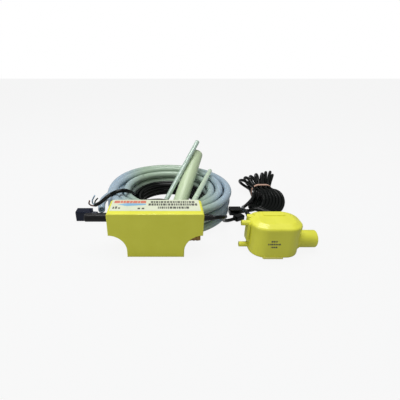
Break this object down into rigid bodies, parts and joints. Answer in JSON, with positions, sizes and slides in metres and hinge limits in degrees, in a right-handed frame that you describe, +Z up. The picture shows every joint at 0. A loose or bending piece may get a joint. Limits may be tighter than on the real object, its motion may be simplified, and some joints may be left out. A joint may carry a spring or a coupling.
{
  "type": "condensate pump",
  "caption": "Small piston condensate pump in a T-shaped block, with its float reservoir, coiled discharge hose, vent tubes and leads.",
  "frame": {"origin": "centre of the pump block's foot, on the surface that the kit stands on", "axes": "+X along the block towards the float reservoir, +Y towards its back, +Z up"},
  "size_m": [0.303, 0.2149, 0.0807],
  "materials": {
    "yellow_shell": "moulded ABS, fine grain, low sheen",
    "yellow_foot": "moulded ABS",
    "label_film": "printed polyester film",
    "screw_steel": "zinc plated steel",
    "copper": "enamelled copper winding",
    "bobbin_nylon": "natural nylon",
    "yoke_steel": "zinc plated sheet steel",
    "brass": "turned brass, darkened",
    "iron": "ground ferritic steel",
    "spring_steel": "spring steel wire",
    "black_rubber": "moulded black rubber",
    "board_green": "glass-epoxy board",
    "component_blue": "cast component case",
    "component_black": "moulded component case",
    "terminal_grey": "moulded terminal",
    "float_foam": "closed-cell foam",
    "magnet_ferrite": "ferrite",
    "post_white": "moulded plastic",
    "cord_black": "black flexible cord sheath",
    "wire_brown": "wire insulation",
    "wire_blue": "wire insulation",
    "wire_earth": "wire insulation",
    "tie_beige": "paper-covered wire tie",
    "clear_hose": "clear flexible hose",
    "milky_sleeve": "milky flexible sleeve"
  },
  "bodies": {
    "kit": {"pump_casing": "yellow_shell", "rear_cover": "yellow_shell", "reservoir_tank": "yellow_shell", "mounting_foot": "yellow_foot", "top_label": "label_film", "cover_screws": "screw_steel", "board_screws": "screw_steel", "post_clip": "screw_steel", "coil_winding": "copper", "coil_bobbin": "bobbin_nylon", "armature_tube": "bobbin_nylon", "inlet_fitting": "bobbin_nylon", "magnet_yoke": "yoke_steel", "outlet_fitting": "brass", "pump_cylinder": "brass", "socket_pins": "brass", "buffer_spring": "spring_steel", "return_spring": "spring_steel", "valve_spring": "spring_steel", "inlet_grommet": "black_rubber", "outlet_grommet": "black_rubber", "outlet_seal": "black_rubber", "sensor_gland": "black_rubber", "power_socket": "black_rubber", "reservoir_gland": "black_rubber", "control_board": "board_green", "relay": "component_blue", "suppression_capacitor": "component_blue", "triac": "component_black", "thermal_cutout": "component_black", "terminal_blocks": "terminal_grey", "sensor_post": "post_white", "filter_screen": "post_white", "power_cord_run": "cord_black", "power_cord_coil": "cord_black", "power_cord_tail": "cord_black", "sensor_lead": "cord_black", "probe_lead_run": "cord_black", "probe_lead_hank": "cord_black", "probe_lead_tail": "cord_black", "power_plug": "cord_black", "sensor_plug": "cord_black", "sensor_socket": "cord_black", "brown_wire": "wire_brown", "blue_wire": "wire_blue", "earth_wire": "wire_earth", "hank_tie": "tie_beige", "discharge_hose_coil": "clear_hose", "discharge_hose_tail": "clear_hose", "vent_tube": "clear_hose", "spare_tube": "clear_hose", "inlet_sleeve": "milky_sleeve"},
    "lid": {"reservoir_lid": "yellow_shell", "lid_seal": "black_rubber", "lid_clip": "yellow_shell"},
    "float": {"float": "float_foam", "float_magnet": "magnet_ferrite"},
    "piston": {"armature": "iron", "plunger": "iron"},
    "outlet_valve": {"outlet_valve": "black_rubber"}
  },
  "joints": [
    {"name": "lid_lift", "type": "slide", "parent": "kit", "child": "lid", "axis": [0, 0, 1], "range_m": [0, 0.045]},
    {"name": "float_rise", "type": "slide", "parent": "kit", "child": "float", "axis": [0, 0, 1], "range_m": [0, 0.01]},
    {"name": "piston_stroke", "type": "slide", "parent": "kit", "child": "piston", "axis": [1, 0, 0], "range_m": [-0.003, 0.003], "stiffness_N_per_m": 400, "deforming": ["return_spring", "buffer_spring"]},
    {"name": "outlet_valve_lift", "type": "slide", "parent": "kit", "child": "outlet_valve", "axis": [1, 0, 0], "range_m": [0, 0.001], "stiffness_N_per_m": 300, "deforming": ["valve_spring"]}
  ]
}
